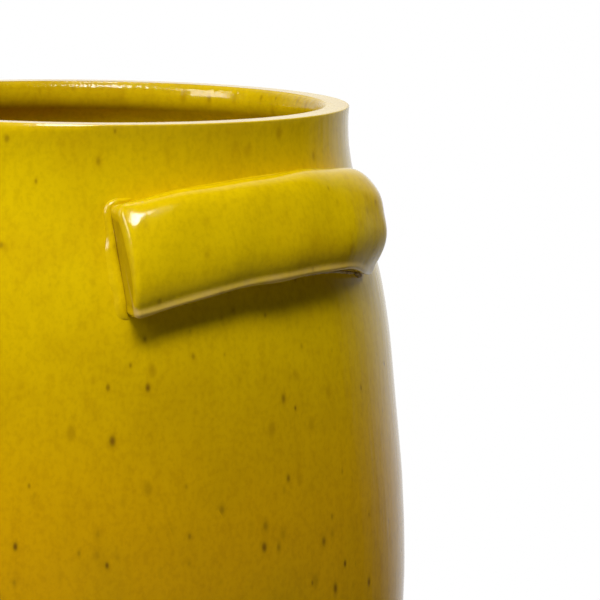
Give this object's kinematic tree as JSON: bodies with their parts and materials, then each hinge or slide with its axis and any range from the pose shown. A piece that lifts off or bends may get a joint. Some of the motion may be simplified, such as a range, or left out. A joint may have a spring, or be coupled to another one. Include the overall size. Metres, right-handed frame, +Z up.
{
  "type": "flower pot",
  "caption": "Glazed stoneware flower pot with a collar neck, a long gentle belly, a trimmed foot ring and solid lug handles set under the neck on opposite sides.",
  "frame": {"origin": "centre of the foot ring, on the surface that the pot stands on", "axes": "+Z up along the pot's axis; the handles are on +X and -X; the front is -Y"},
  "size_m": [0.1748, 0.1748, 0.21],
  "materials": {
    "mustard_glaze": "glossy mustard-yellow glaze with brown iron specks, over stoneware",
    "slip_clay": "fired slip, hidden under the handle"
  },
  "bodies": {
    "root": {"pot_body": "mustard_glaze", "right_handle": "mustard_glaze", "right_handle_slip": "slip_clay", "right_front_coil": "mustard_glaze", "right_rear_coil": "mustard_glaze", "left_handle": "mustard_glaze", "left_handle_slip": "slip_clay", "left_front_coil": "mustard_glaze", "left_rear_coil": "mustard_glaze"}
  },
  "joints": []
}
